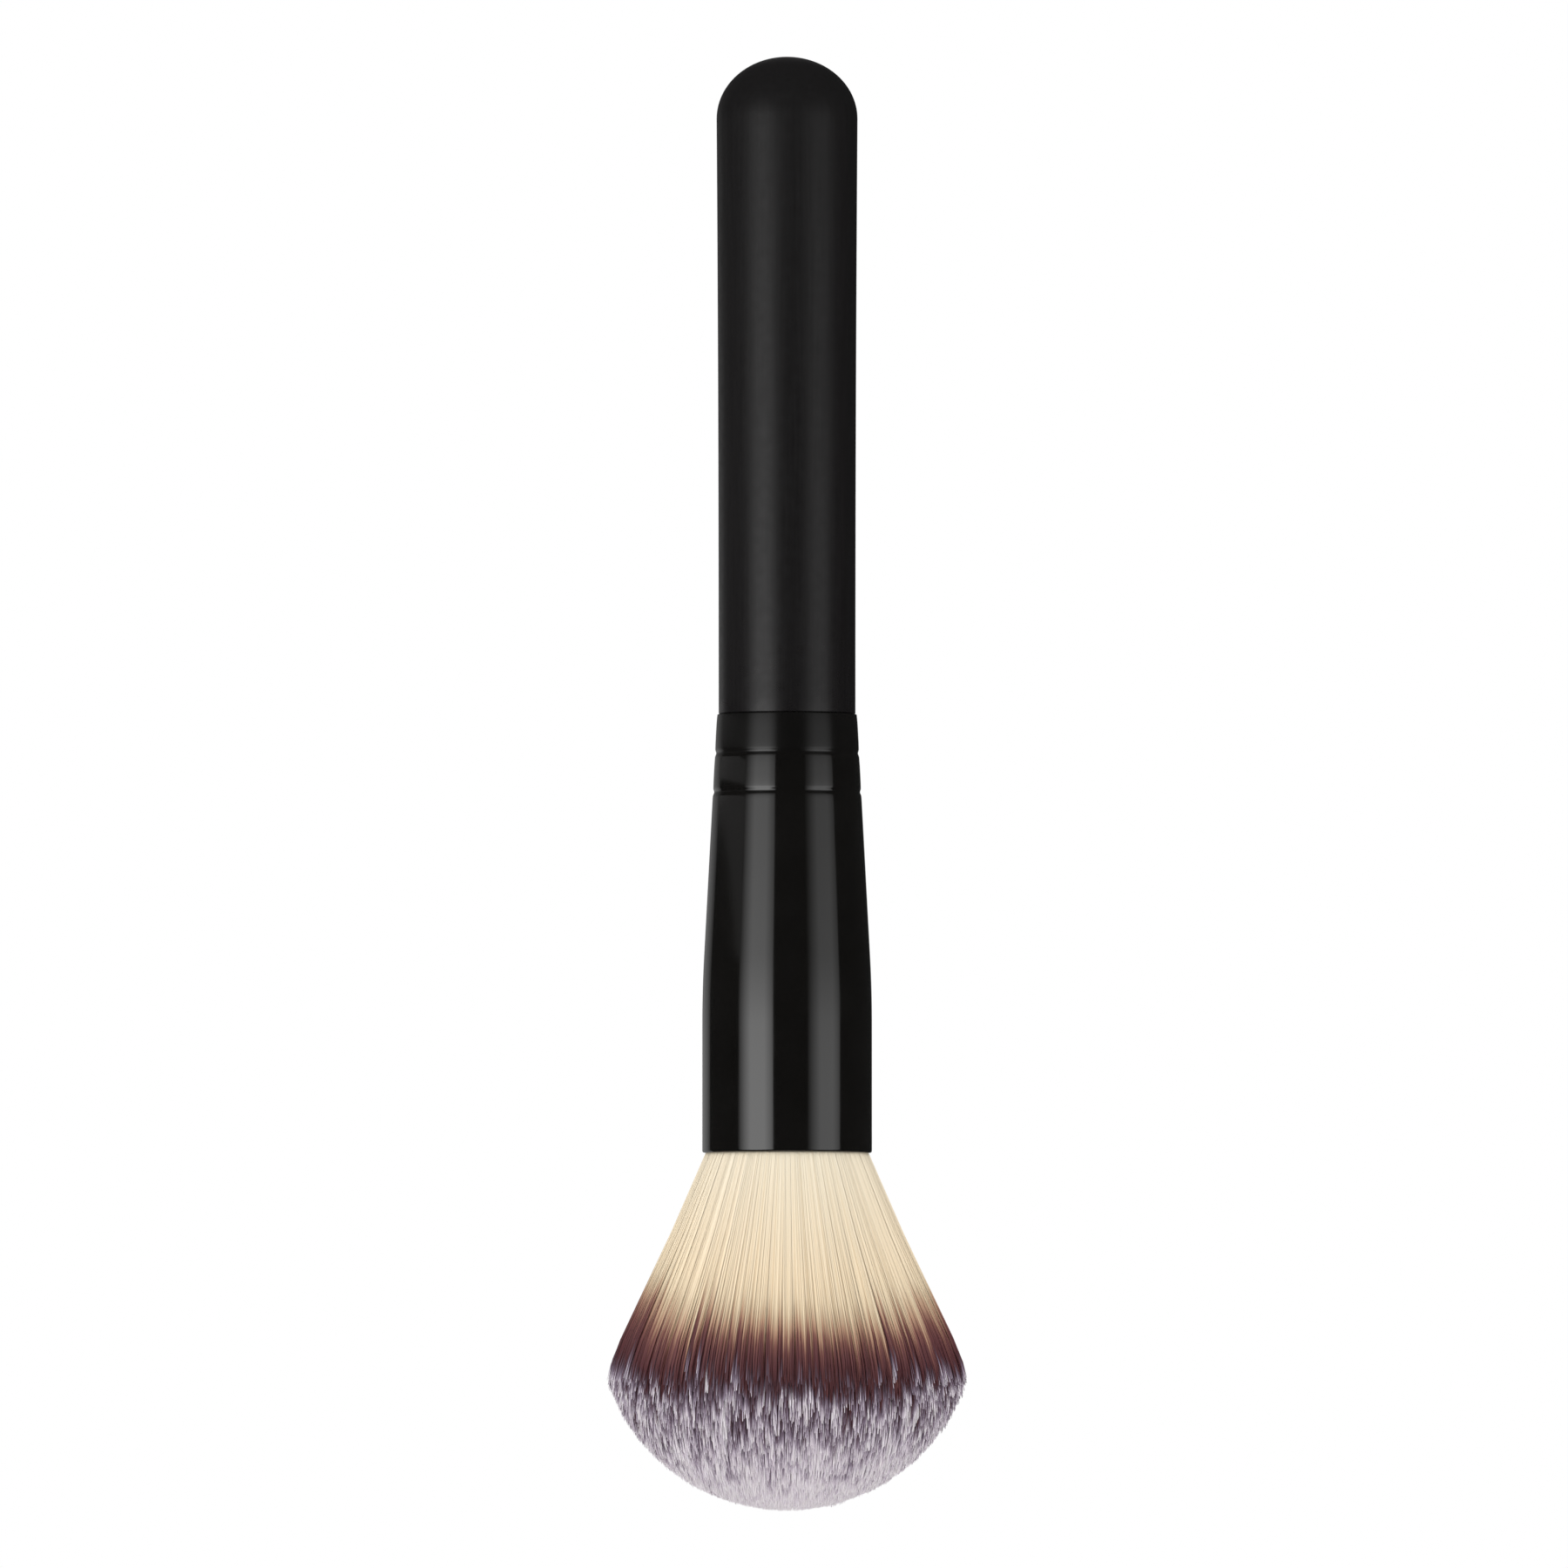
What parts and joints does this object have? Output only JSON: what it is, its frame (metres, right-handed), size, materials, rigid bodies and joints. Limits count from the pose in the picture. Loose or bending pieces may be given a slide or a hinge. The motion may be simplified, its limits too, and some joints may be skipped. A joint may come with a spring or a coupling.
{
  "type": "makeup brush",
  "caption": "Round makeup brush: a domed satin black handle, a flared gloss black ferrule and a domed head of cream, burgundy and lilac fibres.",
  "frame": {"origin": "on the brush's axis, in the middle of the handle's visible length, where a hand or a drying stand holds it", "axes": "+Z along the brush's axis towards the handle's domed end, so the bristles point down; seen from -Y, +X is to the right"},
  "size_m": [0.0423, 0.042, 0.1712],
  "materials": {
    "black_lacquer": "satin black lacquer on turned wood",
    "black_anodised": "gloss black coating on drawn aluminium",
    "dyed_fibre": "fine synthetic fibre, cream at the root, a burgundy band, lilac grey tips",
    "waxed_thread": "waxed thread, whipped round the root",
    "cured_epoxy": "cured amber epoxy",
    "cured_adhesive": "cured clear adhesive"
  },
  "bodies": {
    "root": {"handle": "black_lacquer", "ferrule": "black_anodised", "bristles": "dyed_fibre", "root_binding": "waxed_thread", "glue_plug": "cured_epoxy", "tenon_glue": "cured_adhesive"}
  },
  "joints": []
}
